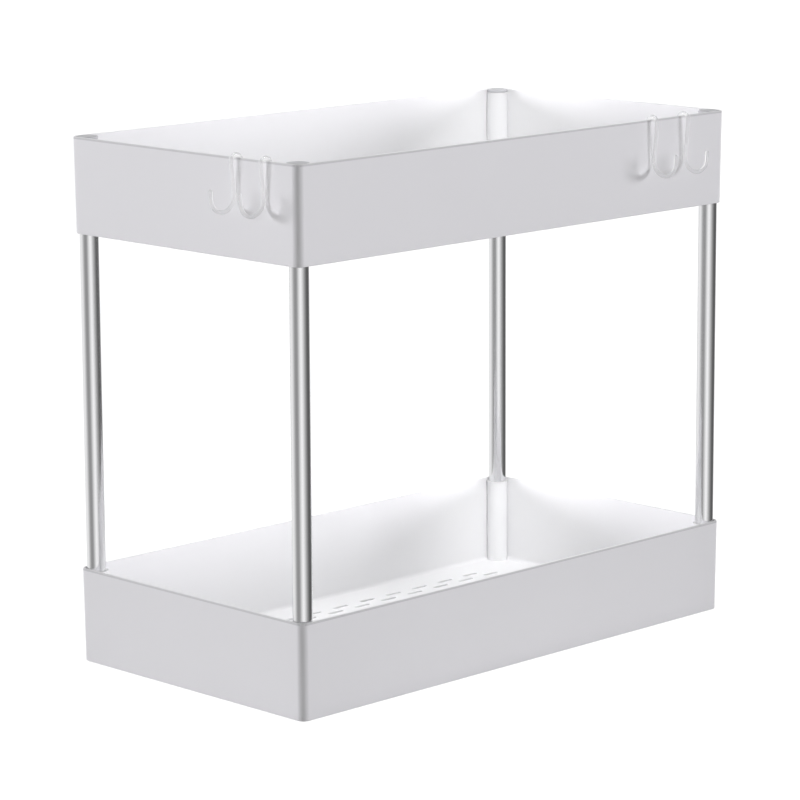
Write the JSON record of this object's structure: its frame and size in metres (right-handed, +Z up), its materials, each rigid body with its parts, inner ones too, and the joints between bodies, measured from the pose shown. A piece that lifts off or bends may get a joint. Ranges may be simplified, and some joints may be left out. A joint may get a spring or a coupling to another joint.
{
  "type": "two-tier under-sink organizer",
  "caption": "Two-tier under-sink organizer: rectangular moulded trays on slim steel corner tubes, with round corner caps and J hooks that slide along the upper rim.",
  "frame": {"origin": "centre of the lower tray's flat underside, on the surface that it stands on", "axes": "+X along the long side towards the right end, +Y from the front to the back, +Z up"},
  "size_m": [0.4221, 0.237, 0.3529],
  "materials": {
    "tray_plastic": "white, softly shining moulded plastic",
    "tube_steel": "smooth bright steel",
    "cap_plastic": "pale grey moulded plastic",
    "foot_rubber": "pale grey, soft",
    "hook_plastic": "milky clear moulded plastic"
  },
  "bodies": {
    "frame": {"lower_tray": "tray_plastic", "upper_tray": "tray_plastic", "tube_front_left": "tube_steel", "tube_front_right": "tube_steel", "tube_back_left": "tube_steel", "tube_back_right": "tube_steel", "cap_front_left": "cap_plastic", "cap_front_right": "cap_plastic", "cap_back_left": "cap_plastic", "cap_back_right": "cap_plastic", "foot_front_left": "foot_rubber", "foot_front_right": "foot_rubber", "foot_back_left": "foot_rubber", "foot_back_right": "foot_rubber"},
    "hook_left_near": {"hook_left_near": "hook_plastic"},
    "hook_left_far": {"hook_left_far": "hook_plastic"},
    "hook_front_near": {"hook_front_near": "hook_plastic"},
    "hook_front_far": {"hook_front_far": "hook_plastic"}
  },
  "joints": [
    {"name": "hook_left_near_slide", "type": "slide", "parent": "frame", "child": "hook_left_near", "axis": [0, 1, 0], "range_m": [-0.0112, 0.0118]},
    {"name": "hook_left_far_slide", "type": "slide", "parent": "frame", "child": "hook_left_far", "axis": [0, 1, 0], "range_m": [-0.0118, 0.1415]},
    {"name": "hook_front_near_slide", "type": "slide", "parent": "frame", "child": "hook_front_near", "axis": [1, 0, 0], "range_m": [-0.3073, 0.0142]},
    {"name": "hook_front_far_slide", "type": "slide", "parent": "frame", "child": "hook_front_far", "axis": [1, 0, 0], "range_m": [-0.0143, 0.0255]}
  ]
}
